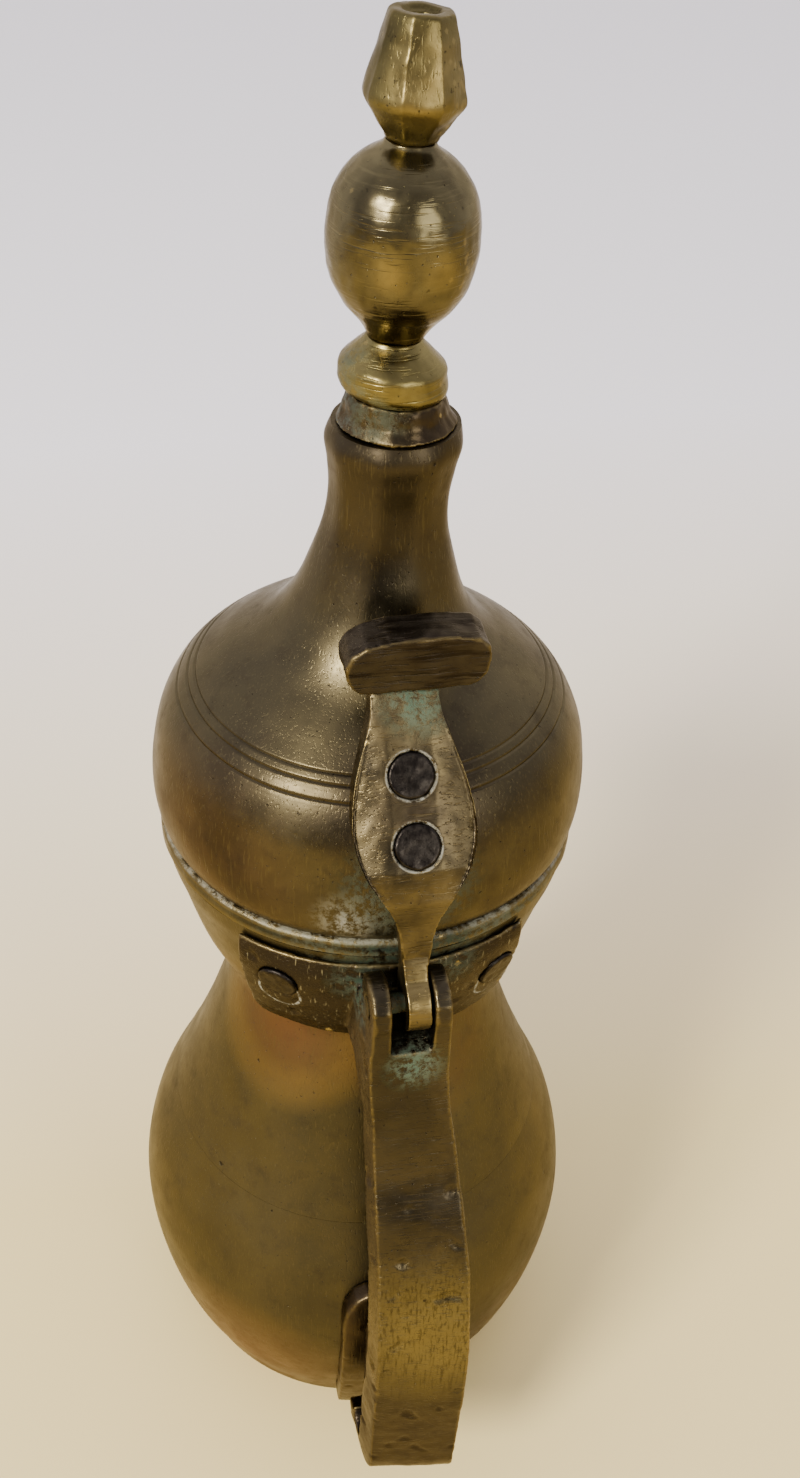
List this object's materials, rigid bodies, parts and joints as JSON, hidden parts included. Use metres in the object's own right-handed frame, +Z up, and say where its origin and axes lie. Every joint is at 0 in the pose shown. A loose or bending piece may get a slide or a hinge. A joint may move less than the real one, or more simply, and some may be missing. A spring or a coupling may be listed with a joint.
{
  "type": "coffee pot",
  "caption": "Waisted metal coffee pot with an open beak spout, riveted strap handle and a tall hinged lid with a turned finial.",
  "frame": {"origin": "centre of the base on the surface it stands on", "axes": "+Z up along the pot's axis, +X towards the spout, -X towards the handle, and the lid's hinge axis along Y"},
  "size_m": [0.1392, 0.0892, 0.2662],
  "materials": {
    "aged_brass": "hand-worn, olive-brown patina over golden brass",
    "copper_toned_brass": "copper-pink patina where the brass has lost its colour",
    "bright_brass": "turned, worn bright on the high parts",
    "cast_brass": "cast and filed, dark in the recesses",
    "dark_rivet": "blackened, lightly polished by handling",
    "inside_brass": "dull and unpolished"
  },
  "bodies": {
    "pot": {"base_plate": "aged_brass", "lower_body": "aged_brass", "upper_body": "aged_brass", "mouth_ring": "aged_brass", "spout": "aged_brass", "handle": "cast_brass", "arm_rivets": "dark_rivet", "arm_burrs": "inside_brass", "tail_plate": "copper_toned_brass", "tail_rivets": "dark_rivet", "tail_burrs": "inside_brass", "hinge_pin": "cast_brass"},
    "lid": {"lid_dome": "aged_brass", "lid_skirt": "inside_brass", "spire_cap": "copper_toned_brass", "finial_collar": "bright_brass", "finial_ball": "bright_brass", "finial_crest": "bright_brass", "finial_rod": "inside_brass", "rod_burr": "inside_brass", "hinge_strap": "cast_brass", "thumb_piece": "cast_brass", "strap_rivets": "dark_rivet", "strap_burrs": "inside_brass"}
  },
  "joints": [
    {"name": "lid_hinge", "type": "hinge", "parent": "pot", "child": "lid", "pos_m": [-0.0435, 0, 0.135], "axis": [0, -1, 0], "range_deg": [0, 120]}
  ]
}
